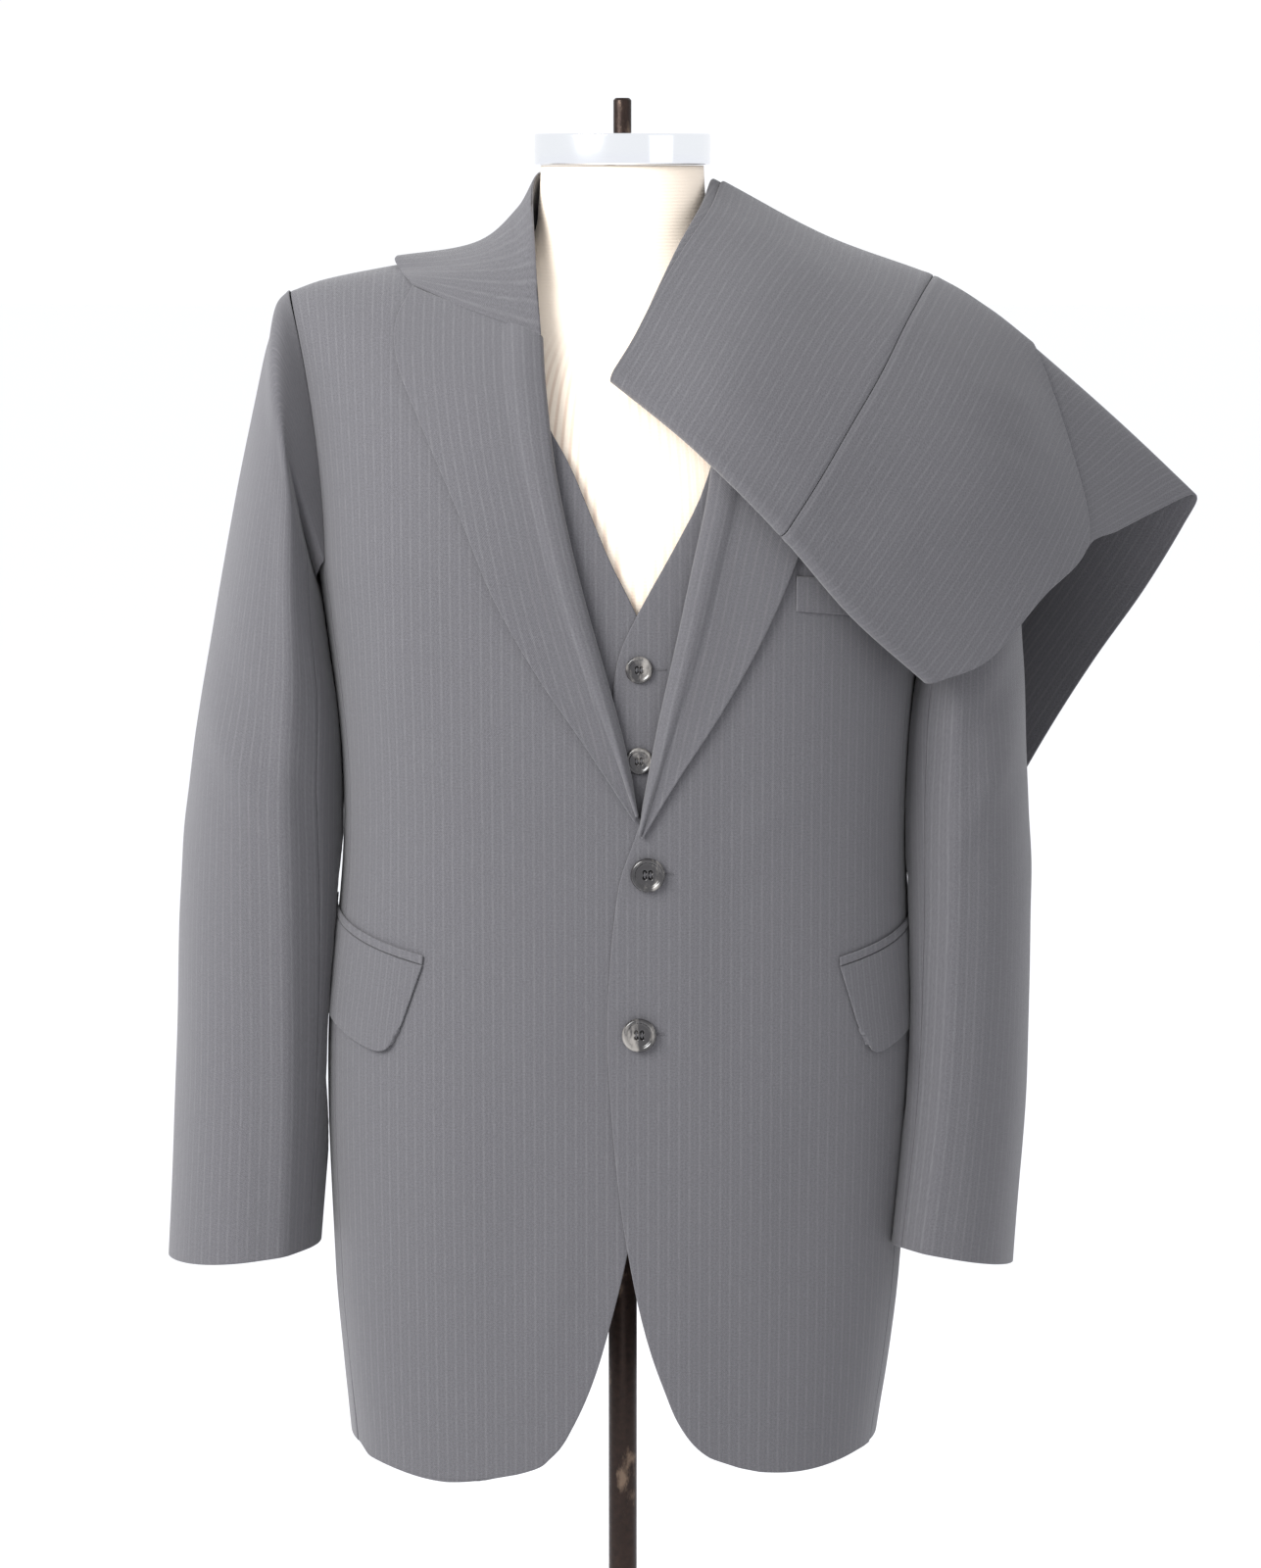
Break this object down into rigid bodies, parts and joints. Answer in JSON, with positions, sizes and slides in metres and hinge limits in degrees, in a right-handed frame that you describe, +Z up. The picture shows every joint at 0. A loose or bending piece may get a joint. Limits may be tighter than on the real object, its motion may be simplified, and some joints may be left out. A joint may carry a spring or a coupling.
{
  "type": "three-piece suit on a limbless dress form",
  "caption": "Pinstriped jacket and waistcoat worn by a limbless dress form on a round stand, with the folded trousers laid over its left shoulder.",
  "frame": {"origin": "the middle of the round base's flat underside, below the pole", "axes": "+Z up the pole, -Y the way the suit's front faces, +X the wearer's left, the side the trousers lie on"},
  "size_m": [0.7054, 0.43, 1.5925],
  "materials": {
    "suiting": "grey wool suiting with fine pale pinstripes, matt",
    "buttons": "dark marbled horn, polished",
    "form_cover": "cream ribbed knit cover, matt",
    "stand_iron": "dark bronzed, worn satin",
    "neck_cap": "polished"
  },
  "bodies": {
    "root": {"jacket_front_left": "suiting", "jacket_front_right": "suiting", "jacket_side_left": "suiting", "jacket_side_right": "suiting", "jacket_back_left": "suiting", "jacket_back_right": "suiting", "lapel_left": "suiting", "lapel_right": "suiting", "collar": "suiting", "sleeve_left_top": "suiting", "sleeve_left_under": "suiting", "sleeve_right_top": "suiting", "sleeve_right_under": "suiting", "pocket_flap_left": "suiting", "pocket_jet_left": "suiting", "pocket_flap_right": "suiting", "pocket_jet_right": "suiting", "breast_welt": "suiting", "vest_front_left": "suiting", "vest_front_right": "suiting", "vest_back": "suiting", "trousers_front_panel": "suiting", "trousers_back_panel": "suiting", "trousers_second_leg": "suiting", "trousers_inner_layers": "suiting", "waistband_outer": "suiting", "waistband_inner": "suiting", "jacket_button_1": "buttons", "jacket_button_2": "buttons", "vest_button_1": "buttons", "vest_button_2": "buttons", "vest_button_3": "buttons", "vest_button_4": "buttons", "vest_button_5": "buttons", "form_torso": "form_cover", "stand_base": "stand_iron", "stand_pole": "stand_iron", "form_flange": "stand_iron", "finial_rod": "stand_iron", "neck_cap": "neck_cap"}
  },
  "joints": []
}
